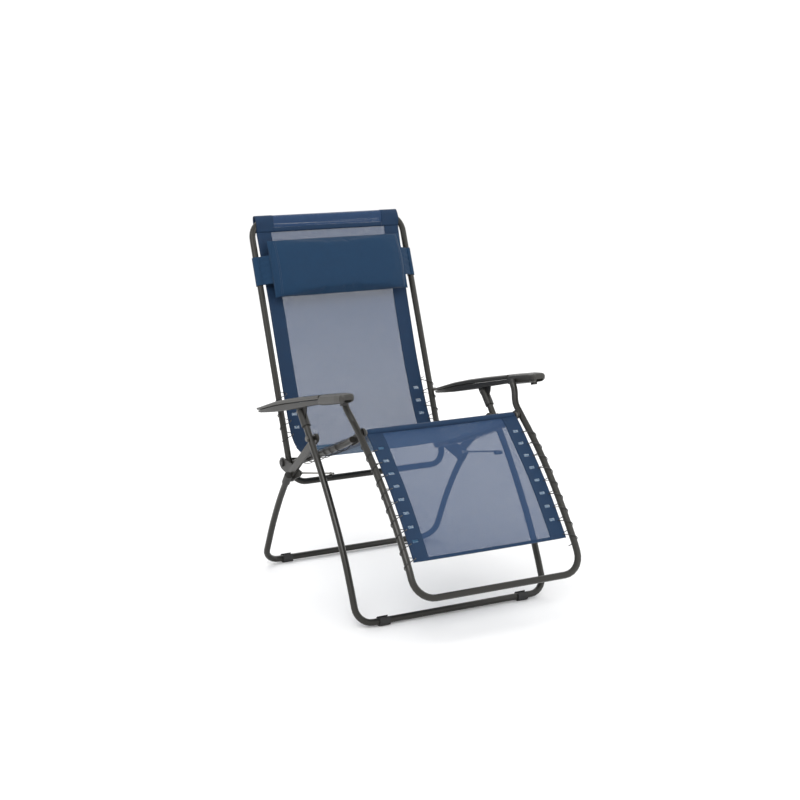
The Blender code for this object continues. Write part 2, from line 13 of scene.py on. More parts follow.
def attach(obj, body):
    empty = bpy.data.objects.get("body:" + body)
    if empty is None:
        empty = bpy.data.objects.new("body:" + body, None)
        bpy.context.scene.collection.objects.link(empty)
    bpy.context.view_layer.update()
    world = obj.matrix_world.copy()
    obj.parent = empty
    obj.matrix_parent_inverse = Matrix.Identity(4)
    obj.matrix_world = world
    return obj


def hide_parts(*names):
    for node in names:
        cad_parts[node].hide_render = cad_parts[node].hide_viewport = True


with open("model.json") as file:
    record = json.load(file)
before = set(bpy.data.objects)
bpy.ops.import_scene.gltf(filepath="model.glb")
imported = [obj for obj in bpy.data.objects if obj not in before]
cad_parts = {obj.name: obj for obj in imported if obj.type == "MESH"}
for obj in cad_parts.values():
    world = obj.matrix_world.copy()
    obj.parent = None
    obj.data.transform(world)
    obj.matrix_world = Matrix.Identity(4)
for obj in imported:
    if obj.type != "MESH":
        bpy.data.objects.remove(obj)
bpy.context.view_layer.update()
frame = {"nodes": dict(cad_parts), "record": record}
record = frame["record"]

# ---------------------------------------------------------------- frame of reference
SHIFT = 0.0478  # the CAD's Y shift
SIDE_X = 0.272
LEAN = math.atan(0.384)
KNEE = Vector((0, -0.262 + SHIFT, 0.558))
BACK_UP = Vector((0, math.sin(LEAN), math.cos(LEAN)))
BACK_OUT = Vector((0, -math.cos(LEAN), math.sin(LEAN)))
TUBE_R = 0.010
EDGE = 0.2545  # half width of the cloth
HEM = 0.049  # width of the doubled side bands
SLOT_PITCH = 0.043
PILLOW_Z = 0.937


def on_back(x, z, out=0.0):
    """A point on the backrest's plane, or out in front of it."""
    p = Vector((x, 0.228 + 0.384 * (z - 0.362) + SHIFT, z))
    return p + BACK_OUT * out


def catmull(points, count):
    pts = np.array([tuple(p) for p in points], float)
    ext = np.vstack([2 * pts[0] - pts[1], pts, 2 * pts[-1] - pts[-2]])
    out = []
    for i in range(len(pts) - 1):
        p0, p1, p2, p3 = ext[i : i + 4]
        for t in np.linspace(0, 1, count, endpoint=False):
            a = 2 * p1 + (p2 - p0) * t
            b = (2 * p0 - 5 * p1 + 4 * p2 - p3) * t**2
            c = (3 * p1 - p0 - 3 * p2 + p3) * t**3
            out.append(0.5 * (a + b + c))
    out.append(pts[-1])
    return np.array(out)


def by_length(points, step):
    """The path resampled at an even spacing near step; returns points and stations."""
    seg = np.linalg.norm(np.diff(points, axis=0), axis=1)
    marks = np.concatenate([[0], np.cumsum(seg)])
    n = max(2, round(marks[-1] / step))
    s = np.linspace(0, marks[-1], n + 1)
    return np.array([[np.interp(v, marks, points[:, k]) for k in range(points.shape[1])] for v in s]), s


# ---------------------------------------------------------------- node helpers


class Tree:
    """A short way to write node materials."""

    def __init__(self, name):
        self.mat = bpy.data.materials.new(name)
        self.mat.use_nodes = True
        self.tree = self.mat.node_tree
        self.nodes = self.tree.nodes
        self.shader = self.nodes["Principled BSDF"]
        self.out = self.nodes["Material Output"]

    def add(self, kind, **values):
        node = self.nodes.new(kind)
        for key, value in values.items():
            if hasattr(node, key):
                setattr(node, key, value)
            else:
                node.inputs[key.replace("_", " ")].default_value = value
        return node

    def link(self, a, b):
        self.tree.links.new(a, b)

    def math(self, op, a, b=0.5, clamp=False):
        node = self.nodes.new("ShaderNodeMath")
        node.operation = op
        node.use_clamp = clamp
        for slot, v in zip(node.inputs, (a, b)):
            if hasattr(v, "links"):
                self.link(v, slot)
            else:
                slot.default_value = v
        return node.outputs[0]

    def mix(self, fac, a, b):
        node = self.nodes.new("ShaderNodeMix")
        node.data_type = "RGBA"
        for slot, v in ((node.inputs[0], fac), (node.inputs[6], a), (node.inputs[7], b)):
            if hasattr(v, "links"):
                self.link(v, slot)
            elif isinstance(v, tuple):
                slot.default_value = (*v, 1)
            else:
                slot.default_value = v
        return node.outputs[2]

    def coords(self, kind="Object"):
        return self.nodes.new("ShaderNodeTexCoord").outputs[kind]

    def noise(self, scale, detail=3.0, vector=None, rough=0.55):
        node = self.nodes.new("ShaderNodeTexNoise")
        node.inputs["Scale"].default_value = scale
        node.inputs["Detail"].default_value = detail
        node.inputs["Roughness"].default_value = rough
        self.link(vector or self.coords(), node.inputs["Vector"])
        return node.outputs["Fac"]

    def ramp(self, fac, low, high, at=(0.0, 1.0)):
        node = self.nodes.new("ShaderNodeValToRGB")
        a, b = node.color_ramp.elements
        a.position, b.position = at
        a.color = (*low, 1) if isinstance(low, tuple) else (low, low, low, 1)
        b.color = (*high, 1) if isinstance(high, tuple) else (high, high, high, 1)
        self.link(fac, node.inputs[0])
        return node.outputs[0]

    def span(self, fac, low, high):
        node = self.nodes.new("ShaderNodeMapRange")
        node.inputs["To Min"].default_value = low
        node.inputs["To Max"].default_value = high
        self.link(fac, node.inputs["Value"])
        return node.outputs["Result"]

    def bump(self, height, strength, distance, normal=None):
        node = self.nodes.new("ShaderNodeBump")
        node.inputs["Strength"].default_value = strength
        node.inputs["Distance"].default_value = distance
        self.link(height, node.inputs["Height"])
        if normal is not None:
            self.link(normal, node.inputs["Normal"])
        return node.outputs[0]

    def set(self, **values):
        for key, value in values.items():
            slot = self.shader.inputs[key.replace("_", " ")]
            if hasattr(value, "links"):
                self.link(value, slot)
            elif isinstance(value, tuple):
                slot.default_value = (*value, 1)
            else:
                slot.default_value = value
        return self.mat


def powder_coat(name, base, light, worn=0.0):
    """Satin powder coating with fine orange peel, faint dust and rubbed edges."""
    t = Tree(name)
    big = t.noise(9.0, 4.0)
    fine = t.noise(2600.0, 2.0)
    peel = t.noise(900.0, 2.0)
    tint = t.mix(t.span(big, 0.1, 0.9), base, light)
    speck = t.ramp(fine, 0.0, 1.0, (0.66, 0.74))
    colour = t.mix(t.math("MULTIPLY", speck, 0.12), tint, (0.16, 0.15, 0.125))
    if worn:
        edge = t.nodes.new("ShaderNodeNewGeometry").outputs["Pointiness"]
        rub = t.ramp(edge, 0.0, 1.0, (0.52, 0.60))
        colour = t.mix(t.math("MULTIPLY", rub, worn), colour, (0.20, 0.19, 0.17))
    height = t.math("ADD", t.math("MULTIPLY", peel, 0.7), t.math("MULTIPLY", fine, 0.3))
    t.set(Base_Color=colour, Roughness=t.span(big, 0.28, 0.38), Normal=t.bump(height, 0.22, 0.0004))
    t.set(Metallic=0.2, Coat_Weight=0.08, Coat_Roughness=0.22, Specular_IOR_Level=0.42)
    return t.mat


def moulded(name, base, light, rough=(0.42, 0.56), grain=1500.0, strength=0.25):
    """Injection-moulded plastic with a fine spark-eroded grain."""
    t = Tree(name)
    big = t.noise(14.0, 3.0)
    fine = t.noise(grain, 2.0, rough=0.7)
    colour = t.mix(big, base, light)
    t.set(Base_Color=colour, Roughness=t.span(big, *rough), Normal=t.bump(fine, strength, 0.0003))
    t.set(Specular_IOR_Level=0.45)
    return t.mat


def plain_weave(t, uv, pitch):
    """Openness of a plain weave between its threads, and which thread lies over."""
    sep = t.add("ShaderNodeSeparateXYZ")
    t.link(uv, sep.inputs[0])
    k = math.pi / pitch
    sx = t.math("SINE", t.math("MULTIPLY", sep.outputs[0], k))
    sy = t.math("SINE", t.math("MULTIPLY", sep.outputs[1], k))
    ax = t.math("ABSOLUTE", sx)
    ay = t.math("ABSOLUTE", sy)
    over = t.math("MULTIPLY", sx, sy)
    return t.math("MULTIPLY", ax, ay), over


def mesh_cloth(name, thread, light, open_area, pitch=0.00165):
    """Coated open mesh: twisted threads with square holes between them."""
    t = Tree(name)
    uv = t.nodes.new("ShaderNodeUVMap").outputs[0]
    hole, over = plain_weave(t, uv, pitch)
    wobble = t.math("MULTIPLY", t.math("SUBTRACT", t.noise(700.0, 2.0), 0.5), 0.16)
    cut = t.math("GREATER_THAN", t.math("ADD", hole, wobble), open_area)
    colour = t.mix(t.noise(60.0, 3.0), thread, light)
    # painted highlight: the thread lying over is lightened, as if it caught more light than the thread under
    # it
    painted_over_highlight = t.math("MULTIPLY", t.math("ADD", over, 1.0), 0.5)
    colour = t.mix(t.math("MULTIPLY", painted_over_highlight, 0.35), colour, light)
    height = t.math("ADD", t.math("MULTIPLY", over, 0.5), t.math("SUBTRACT", 1.0, hole))
    t.set(Base_Color=colour, Roughness=0.55, Normal=t.bump(height, 0.6, 0.0005))
    t.set(Sheen_Weight=0.05, Sheen_Roughness=0.5, Specular_IOR_Level=0.25)
    clear = t.nodes.new("ShaderNodeBsdfTransparent")
    both = t.nodes.new("ShaderNodeMixShader")
    t.link(cut, both.inputs[0])
    t.link(t.shader.outputs[0], both.inputs[1])
    t.link(clear.outputs[0], both.inputs[2])
    t.link(both.outputs[0], t.out.inputs["Surface"])
    return t.mat


def band_cloth(name, dark, light, pitch=0.00165, bump=0.5):
    """Doubled mesh of the hems: the same threads with a second layer in the holes, darkened there as painted
    shade.
    """
    t = Tree(name)
    uv = t.nodes.new("ShaderNodeUVMap").outputs[0]
    hole, over = plain_weave(t, uv, pitch)
    mottle = t.noise(38.0, 4.0)
    colour = t.mix(t.span(mottle, 0.0, 1.0), dark, light)
    # painted shade: the second layer seen in the holes is darkened, as if in shade under the top layer
    painted_hole_shade = t.math("MULTIPLY", t.ramp(hole, 0.0, 1.0, (0.45, 0.8)), 0.55)
    colour = t.mix(painted_hole_shade, colour, tuple(0.35 * c for c in dark))
    height = t.math("ADD", t.math("MULTIPLY", over, 0.5), t.math("SUBTRACT", 1.0, hole))
    t.set(Base_Color=colour, Roughness=t.span(mottle, 0.55, 0.72), Normal=t.bump(height, bump, 0.0005))
    t.set(Sheen_Weight=0.06, Sheen_Roughness=0.45, Specular_IOR_Level=0.25)
    return t.mat


def canvas(name, dark, light, pitch=0.0009):
    """Closely woven matte polyester of the pillow."""
    t = Tree(name)
    pos = t.coords()
    scale = 1 / (pitch * 6.283) * 3.1416
    wave_a = t.add("ShaderNodeTexWave", wave_type="BANDS", bands_direction="X", Scale=scale)
    wave_b = t.add("ShaderNodeTexWave", wave_type="BANDS", bands_direction="Z", Scale=scale)
    for wave in (wave_a, wave_b):
        t.link(pos, wave.inputs["Vector"])
        wave.inputs["Distortion"].default_value = 0.6
    weave = t.math("MULTIPLY", wave_a.outputs["Fac"], wave_b.outputs["Fac"])
    mottle = t.noise(26.0, 5.0)
    slub = t.noise(420.0, 2.0)
    colour = t.mix(mottle, dark, light)
    colour = t.mix(t.math("MULTIPLY", slub, 0.25), colour, tuple(1.5 * c for c in light))
    colour = t.mix(t.math("MULTIPLY", weave, 0.35), colour, tuple(0.55 * c for c in dark))
    wrinkle = t.noise(34.0, 3.0)
    first = t.bump(wrinkle, 0.25, 0.004)
    t.set(Base_Color=colour, Roughness=t.span(mottle, 0.78, 0.9), Normal=t.bump(weave, 0.5, 0.0003, first))
    t.set(Sheen_Weight=0.10, Sheen_Roughness=0.4, Specular_IOR_Level=0.25)
    return t.mat


def braided(name, base, light):
    """Braided elastic cord."""
    t = Tree(name)
    pos = t.coords()
    wave = t.add("ShaderNodeTexWave", wave_type="BANDS", bands_direction="DIAGONAL", Scale=520.0)
    t.link(pos, wave.inputs["Vector"])
    wave.inputs["Distortion"].default_value = 1.5
    colour = t.mix(wave.outputs["Fac"], base, light)
    t.set(Base_Color=colour, Roughness=0.7, Normal=t.bump(wave.outputs["Fac"], 0.5, 0.0004))
    t.set(Sheen_Weight=0.2, Sheen_Roughness=0.5)
    return t.mat


def zinc(name):
    t = Tree(name)
    spangle = t.noise(120.0, 3.0)
    colour = t.mix(spangle, (0.16, 0.155, 0.14), (0.34, 0.33, 0.30))
    rough = t.span(spangle, 0.28, 0.45)
    t.set(Base_Color=colour, Roughness=rough, Normal=t.bump(t.noise(800.0), 0.12, 0.0003))
    t.set(Metallic=0.8)
    return t.mat


def thread_cloth(name, colour_a, colour_b):
    """Twisted sewing thread."""
    t = Tree(name)
    twist = t.noise(2200.0, 2.0)
    t.set(Base_Color=t.mix(twist, colour_a, colour_b), Roughness=0.6, Normal=t.bump(twist, 0.4, 0.0002))
    t.set(Sheen_Weight=0.2)
    return t.mat


STEEL = powder_coat("satin_bronze_grey_coat", (0.0085, 0.0080, 0.0062), (0.0160, 0.0150, 0.0116), worn=0.10)
PLASTIC = moulded("moulded_black_plastic", (0.010, 0.010, 0.0095), (0.017, 0.016, 0.015))
ARM_TOP = moulded(
    "moulded_armrest_top", (0.022, 0.021, 0.018), (0.033, 0.031, 0.027), (0.36, 0.48), 1100.0, 0.3,
)
ARM_RAIL = moulded(
    "moulded_armrest_rail", (0.015, 0.0145, 0.013), (0.024, 0.023, 0.020), (0.40, 0.52), 1300.0, 0.25,
)
RIVET = powder_coat("dark_rivet_heads", (0.030, 0.029, 0.027), (0.055, 0.052, 0.047), worn=0.35)
ZINC = zinc("zinc_plated_rod")
FOOT = moulded("black_rubbery_foot", (0.012, 0.012, 0.012), (0.022, 0.022, 0.022), (0.6, 0.75), 900.0, 0.4)
MESH = mesh_cloth("blue_grey_open_mesh", (0.010, 0.036, 0.094), (0.020, 0.054, 0.132), 0.77)
SEAT_MESH = mesh_cloth("blue_doubled_seat_mesh", (0.012, 0.050, 0.110), (0.022, 0.078, 0.150), 0.90)
# the windows show the panel's own single mesh, its thread painted lighter as painted light shining through
# the slots
BACKLIT_WINDOW_MESH = mesh_cloth("single_mesh_painted_backlight", (0.020, 0.075, 0.150), (0.036, 0.105, 0.190), 0.80)
HEM_NAVY = band_cloth("navy_doubled_hem", (0.0035, 0.0210, 0.058), (0.0070, 0.0340, 0.086))
CANVAS = canvas("matte_blue_canvas", (0.0045, 0.0250, 0.062), (0.0085, 0.0360, 0.082))
CORD = braided("black_braided_elastic", (0.004, 0.004, 0.004), (0.012, 0.012, 0.012))
THREAD = thread_cloth("navy_sewing_thread", (0.012, 0.032, 0.080), (0.026, 0.058, 0.120))

# ---------------------------------------------------------------- CAD nodes that stay
FINISH = {
    "_frame": STEEL,
    "leg_link": STEEL,
    "seat_rail": STEEL,
    "foot": FOOT,
    "armrest_shell": ARM_TOP,
    "armrest_front": ARM_TOP,
    "armrest_rail": ARM_RAIL,
    "arm_socket": ARM_RAIL,
    "arm_slider": PLASTIC,
    "hip_bracket": ARM_RAIL,
    "hip_pin": PLASTIC,
    "knee_gusset": ARM_RAIL,
    "legrest_collar": PLASTIC,
    "stay_guide": PLASTIC,
    "lock_lever": PLASTIC,
    "stay_rod": ZINC,
    "lacing": CORD,
    "_pin": RIVET,
    "seat_pivot": RIVET,
    "knee_pin": RIVET,
    "pivot_bolt": RIVET,
}

for name, node in frame["nodes"].items():
    for key, mat in FINISH.items():
        if key in name:
            node.data.materials.clear()
            node.data.materials.append(mat)
            break

# ---------------------------------------------------------------- piece helpers


def new_piece(name, bm, mat, body=None, smooth=True, angle=40):
    """Store a bmesh as a piece, in the row frame, riding on a body."""
    for face in bm.faces:
        face.smooth = smooth
    mesh = bpy.data.meshes.new(name)
    bm.to_mesh(mesh)
    bm.free()
    if smooth:
        mesh.set_sharp_from_angle(angle=math.radians(angle))
    mesh.materials.append(mat)
    obj = bpy.data.objects.new(name, mesh)
    bpy.context.scene.collection.objects.link(obj)
    if body:
        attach(obj, body)
    return obj


def frames_along(path):
    """Unit tangents along a side-view path, and its normals on the sitter's side."""
    tangent = np.gradient(path, axis=0)
    tangent /= np.linalg.norm(tangent, axis=1)[:, None]
    normal = np.stack([-tangent[:, 1], tangent[:, 0]], axis=1)
    return tangent, normal * math.copysign(1, normal[:, 1].mean())


def cloth_strip(path, xs, shape=None, thickness=0.0, skip=None, width=None):
    """Cloth over a side-view path between the given X stations, with UVs in metres.

    shape(x, s) moves a point along the normal; skip(x, s) leaves a cell out; a
    thickness closes the strip into a solid; width(s) is the panel's half width."""
    pts, marks = path
    _, normal = frames_along(pts)
    bm = bmesh.new()
    uv = bm.loops.layers.uv.new("UVMap")
    sides = (thickness / 2, -thickness / 2) if thickness else (0.0,)
    grids = []
    flat = {}
    for offset in sides:
        grid = []
        for i, s in enumerate(marks):
            row = []
            for x in xs:
                out = offset + (shape(x, s) if shape else 0.0)
                y, z = pts[i] + normal[i] * out
                across = x * width(s) / EDGE if width else x
                v = bm.verts.new((across, y, z))
                flat[v] = (x, s)
                row.append(v)
            grid.append(row)
        grids.append(grid)
    keep = {}
    top = grids[0]
    for i in range(len(top) - 1):
        for k in range(len(top[0]) - 1):
            mid = ((flat[top[i][k]][0] + flat[top[i][k + 1]][0]) / 2, (marks[i] + marks[i + 1]) / 2)
            keep[i, k] = not (skip and skip(*mid))
    for side, grid in enumerate(grids):
        for (i, k), kept in keep.items():
            if kept:
                loop = (grid[i][k], grid[i][k + 1], grid[i + 1][k + 1], grid[i + 1][k])
                bm.faces.new(loop if side == 0 else loop[::-1])
    if thickness:
        for (i, k), kept in keep.items():
            if not kept:
                continue
            for (di, dk), (a, b) in (
                ((-1, 0), ((i, k), (i, k + 1))),
                ((1, 0), ((i + 1, k + 1), (i + 1, k))),
                ((0, -1), ((i + 1, k), (i, k))),
                ((0, 1), ((i, k + 1), (i + 1, k + 1))),
            ):
                if not keep.get((i + di, k + dk), False):
                    p, q = grids[0][a[0]][a[1]], grids[0][b[0]][b[1]]
                    r, t = grids[1][b[0]][b[1]], grids[1][a[0]][a[1]]
                    bm.faces.new((q, p, t, r))
    for face in bm.faces:
        for loop in face.loops:
            loop[uv].uv = flat[loop.vert]
    loose = [v for v in bm.verts if not v.link_faces]
    bmesh.ops.delete(bm, geom=loose, context="VERTS")
    return bm


def tube(points, radius, sides=8, closed=False):
    """A round bar along 3D points, as a bmesh."""
    pts = [Vector(p) for p in points]
    bm = bmesh.new()
    rows = []
    n = len(pts)
    up = None
    for i, p in enumerate(pts):
        if closed:
            d = (pts[(i + 1) % n] - pts[i - 1]).normalized()
        else:
            d = (pts[min(i + 1, n - 1)] - pts[max(i - 1, 0)]).normalized()
        if up is None:
            up = d.orthogonal().normalized()
        up = (up - d * up.dot(d)).normalized()
        side = d.cross(up)
        r = radius(i / (n - 1)) if callable(radius) else radius
        angles = np.linspace(0, 2 * math.pi, sides, endpoint=False)
        rows.append([bm.verts.new(p + (up * math.cos(a) + side * math.sin(a)) * r) for a in angles])
    pairs = list(zip(rows, rows[1:])) + ([(rows[-1], rows[0])] if closed else [])
    for low, high in pairs:
        for k in range(sides):
            j = (k + 1) % sides
            bm.faces.new((low[k], low[j], high[j], high[k]))
    if not closed:
        bm.faces.new(rows[0][::-1])
        bm.faces.new(rows[-1])
    bmesh.ops.recalc_face_normals(bm, faces=bm.faces)
    return bm


def merge(target, other):
    """Add one bmesh to another."""
    mesh = bpy.data.meshes.new("joined")
    other.to_mesh(mesh)
    other.free()
    target.from_mesh(mesh)
    bpy.data.meshes.remove(mesh)
    return target


# ---------------------------------------------------------------- fabric paths (side view)
def back_point(z, sag=0.0):
    p = on_back(0, z, -sag)
    return (p.y, p.z)


# the back cloth runs on under the seat cloth at the turn, and the two slide over each other
back_path = by_length(
    catmull(
        [
            (0.2000 + SHIFT, 0.4020),
            (0.2242 + SHIFT, 0.4090),
            (0.2486 + SHIFT, 0.4286),
            back_point(0.4650, 0.0040),
            back_point(0.5200, 0.0090),
            back_point(0.6500, 0.0120),
            back_point(0.8200, 0.0080),
            back_point(1.0000, 0.0015),
            back_point(1.0600, 0.0000),
        ],
        8,
    ),
    0.0045,
)
seat_path = by_length(
    catmull(
        [
            (0.2200 + SHIFT, 0.4092),
            (0.2030 + SHIFT, 0.4046),
            (0.1850 + SHIFT, 0.4010),
            (0.1500 + SHIFT, 0.3990),
            (0.1100 + SHIFT, 0.4035),
            (0.0730 + SHIFT, 0.4110),
            (0.0000 + SHIFT, 0.4375),
            (-0.0690 + SHIFT, 0.4635),
            (-0.1700 + SHIFT, 0.5045),
            (-0.2200 + SHIFT, 0.5290),
            (KNEE.y, KNEE.z),
        ],
        8,
    ),
    0.0045,
)
leg_path = by_length(
    catmull(
        [
            (KNEE.y, KNEE.z),
            (-0.2900 + SHIFT, 0.5370),
            (-0.3390 + SHIFT, 0.4905),
            (-0.4090 + SHIFT, 0.4215),
            (-0.4710 + SHIFT, 0.3515),
            (-0.5250 + SHIFT, 0.2835),
            (-0.5500 + SHIFT, 0.2500),
        ],
        8,
    ),
    0.0045,
)
BACK_LEN, SEAT_LEN, LEG_LEN = back_path[1][-1], seat_path[1][-1], leg_path[1][-1]


def ripple(x, s):
    """Slack of the cloth between its laced edges: a faint belly and fine creases."""
    side = 1 - min(1.0, (x / EDGE) ** 2)
    return -0.0030 * side + 0.0006 * math.sin(37 * s + 5 * x) * side


def slot_rows(first, last):
    count = round((last - first) / SLOT_PITCH)
    return [first + SLOT_PITCH * (k + 0.5) for k in range(count)]


SLOT_MID = EDGE - HEM * 0.52
SLOT_W = 0.0190
SLOT_H = 0.0100
slots = {
    "back": slot_rows(0.075, 0.215),
    "seat": [],
    "legrest": slot_rows(0.040, LEG_LEN - 0.020),
}
CENTRE = np.linspace(-(EDGE - HEM), EDGE - HEM, 41)


def hem_stations(sign):
    """X stations over a hem, with columns on the slots' sides."""
    edge, inner = EDGE, EDGE - HEM
    marks = [inner - 0.0015, inner + 0.004, inner + 0.010]
    marks += [SLOT_MID - SLOT_W / 2, SLOT_MID, SLOT_MID + SLOT_W / 2]
    marks += [edge - 0.010, edge - 0.004, edge]
    return [sign * m for m in marks][:: (1 if sign > 0 else -1)]


def with_slot_rows(path, rows):
    """The path's stations moved so that rows of cells meet each slot's ends."""
    pts, marks = path
    wanted = sorted(set([*marks, *[r - SLOT_H / 2 for r in rows], *[r + SLOT_H / 2 for r in rows]]))
    kept = [wanted[0]]
    special = {round(r + d, 6) for r in rows for d in (-SLOT_H / 2, SLOT_H / 2)}
    for m in wanted[1:]:
        near = m - kept[-1] < 0.0015
        if near and round(m, 6) in special:
            kept[-1] = m
        elif not near:
            kept.append(m)
    out = np.array([[np.interp(m, marks, pts[:, k]) for k in (0, 1)] for m in kept])
    return out, np.array(kept)


def hem_lift(x, s):
    """The band lies with the mesh, and is rolled a little at its outer edge."""
    edge = max(0.0, (abs(x) - (EDGE - 0.012)) / 0.012)
    return ripple(x, s) + 0.0006 + 0.0010 * math.sin(math.pi * min(1.0, edge))


def stitches(path, x, mat, name, body, width, lift=0.0019, length=0.0030, gap=0.0016):
    """A row of sewing stitches along a side-view path, on both faces."""
    pts, marks = path
    _, normal = frames_along(pts)
    bm = bmesh.new()
    s = 0.004
    while s < marks[-1] - 0.006:
        for face in (1, -1):
            ends = []
            for v in (s, s + length):
                y, z = [np.interp(v, marks, pts[:, k]) for k in (0, 1)]
                ny, nz = [np.interp(v, marks, normal[:, k]) for k in (0, 1)]
                out = hem_lift(x, v) + face * lift
                ends.append(Vector((x * width(v) / EDGE, y + ny * out, z + nz * out)))
            a, b = ends
            across = Vector((0.00045, 0, 0))
            n = Vector((0, ny, nz)) * 0.0004 * face
            mid = (a + b) / 2 + n
            ring = [bm.verts.new(p) for p in (a, (a + b) / 2 + across, b, (a + b) / 2 - across)]
            top = bm.verts.new(mid)
            for i in range(4):
                loop = (ring[i], ring[(i + 1) % 4], top)
                bm.faces.new(loop if face > 0 else loop[::-1])
        s += length + gap
    return new_piece(name, bm, mat, body)


def back_width(s):
    stations = [0, 0.03, 0.08, 0.30, 0.50, BACK_LEN]
    return float(np.interp(s, stations, [0.2440, 0.2480, 0.2500, 0.2480, 0.2490, 0.2560]))


def even_width(s):
    return 0.2505


CLOTH = {
    "back": (back_path, "backrest", "back_fabric", BACK_LEN, back_width),
    "seat": (seat_path, "seat", "seat_fabric", SEAT_LEN, even_width),
    "legrest": (leg_path, "legrest", "legrest_fabric", LEG_LEN, even_width),
}
for label, (path, body, cad, length, width) in CLOTH.items():
    mesh_bm = cloth_strip(path, CENTRE, shape=ripple, width=width)
    panel = new_piece(f"{label}_mesh", mesh_bm, SEAT_MESH if label == "seat" else MESH, body)
    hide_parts(cad)
    hems = []
    windows = None
    rows = slots[label]
    slotted = with_slot_rows(path, rows)
    for side, sign in (("left", -1), ("right", 1)):

        def hole(x, s, rows=rows):
            inside = abs(abs(x) - SLOT_MID) < SLOT_W / 2
            return inside and any(abs(s - r) < SLOT_H / 2 for r in rows)

        bm = cloth_strip(
            slotted, hem_stations(sign), shape=hem_lift, thickness=0.0024, skip=hole, width=width,
        )
        bmesh.ops.recalc_face_normals(bm, faces=bm.faces)
        hem = new_piece(f"{label}_hem_{side}", bm, HEM_NAVY, body)
        hems.append(hem)
        seams = [
            stitches(path, sign * (EDGE - HEM + 0.0035), THREAD, f"{label}_seam_inner_{side}", body, width),
            stitches(path, sign * (EDGE - 0.0045), THREAD, f"{label}_seam_outer_{side}", body, width),
        ]
        hems += seams
        # windows of single mesh in the doubled band
        for r in rows:
            cell = with_slot_rows(path, [r])
            inside = [m for m in cell[1] if r - SLOT_H / 2 - 1e-6 <= m <= r + SLOT_H / 2 + 1e-6]
            line = np.array([[np.interp(m, *(path[1], path[0][:, k])) for k in (0, 1)] for m in inside])
            xs = np.linspace(sign * (SLOT_MID - SLOT_W / 2), sign * (SLOT_MID + SLOT_W / 2), 5)
            patch = cloth_strip((line, np.array(inside)), xs, shape=ripple, width=width)
            windows = merge(windows, patch) if windows else patch
    if windows:
        hems.append(new_piece(f"{label}_windows", windows, BACKLIT_WINDOW_MESH, body))


# ---------------------------------------------------------------- roll over the knee pivots
def cloth_roll(name, centre, radius, body, mat):
    """The cloth's turn over a pivot line: a soft roll the full width of the seat."""
    bm = bmesh.new()
    uv = bm.loops.layers.uv.new("UVMap")
    xs = np.linspace(-0.2500, 0.2500, 61)
    around = 28
    rows = []
    flat = {}
    for x in xs:
        end = max(0.0, (abs(x) - 0.2440) / 0.0060)
        r = radius * math.sqrt(max(0.05, 1 - end**2 * 0.75))
        row = []
        for k in range(around):
            a = 2 * math.pi * k / around
            v = bm.verts.new((x, centre.y + r * math.cos(a), centre.z + r * math.sin(a)))
            flat[v] = (x, radius * a)
            row.append(v)
        rows.append(row)
    for low, high in zip(rows, rows[1:]):
        for k in range(around):
            j = (k + 1) % around
            bm.faces.new((low[k], low[j], high[j], high[k]))
    for row in (rows[0][::-1], rows[-1]):
        bm.faces.new(row)
    bmesh.ops.recalc_face_normals(bm, faces=bm.faces)
    for face in bm.faces:
        for loop in face.loops:
            loop[uv].uv = flat[loop.vert]
    piece = new_piece(name, bm, mat, body)
    return piece


knee_roll = cloth_roll("knee_roll", KNEE, 0.0085, "legrest", HEM_NAVY)

# the legrest's bottom hem: the mesh turned under and sewn
tail = by_length(leg_path[0][-3:], 0.0045)
tail_bm = cloth_strip(
    (tail[0], tail[1] + LEG_LEN - tail[1][-1]),
    np.linspace(-(EDGE - HEM * 0.4), EDGE - HEM * 0.4, 31),
    shape=lambda x, s: ripple(x, s) + 0.0004,
    thickness=0.0036,
    width=even_width,
)
bmesh.ops.recalc_face_normals(tail_bm, faces=tail_bm.faces)
leg_hem = new_piece("legrest_end_hem", tail_bm, HEM_NAVY, "legrest")

# ---------------------------------------------------------------- sleeve over the backrest's top bar
BAR_Z = 1.095
BEND = 0.062
SLEEVE_HALF = 0.2565
SLEEVE_DROP = 0.0540
MITRE = 0.0600


def sleeve_out(x, u):
    """Half thickness of the sleeve at a depth u under its top edge."""
    past = max(0.0, abs(x) - (SIDE_X - BEND))
    drop = BEND - math.sqrt(max(0.0, BEND**2 - min(past, BEND) ** 2))
    depth = 0.0128 + drop
    if u < depth:
        return 0.0016 + 0.0109 * math.sqrt(max(0.0, 1 - ((depth - u) / depth) ** 2))
    t = min(1.0, (u - depth) / max(0.004, SLEEVE_DROP - depth))
    return 0.0125 - 0.0100 * (t * t * (3 - 2 * t) * 0.35 + t * 0.65)


def sleeve_profile(x):
    """Front layer, over the top and down the back, as (up, out, station) rows."""
    depths = [*np.linspace(SLEEVE_DROP, 0.014, 10), 0.0105, 0.0075, 0.0050, 0.0028, 0.0012, 0.0003]
    crest = 0.0128
    front = [(crest - u, sleeve_out(x, u)) for u in depths]
    back = [(up, -out) for up, out in reversed(front)]
    return front + back


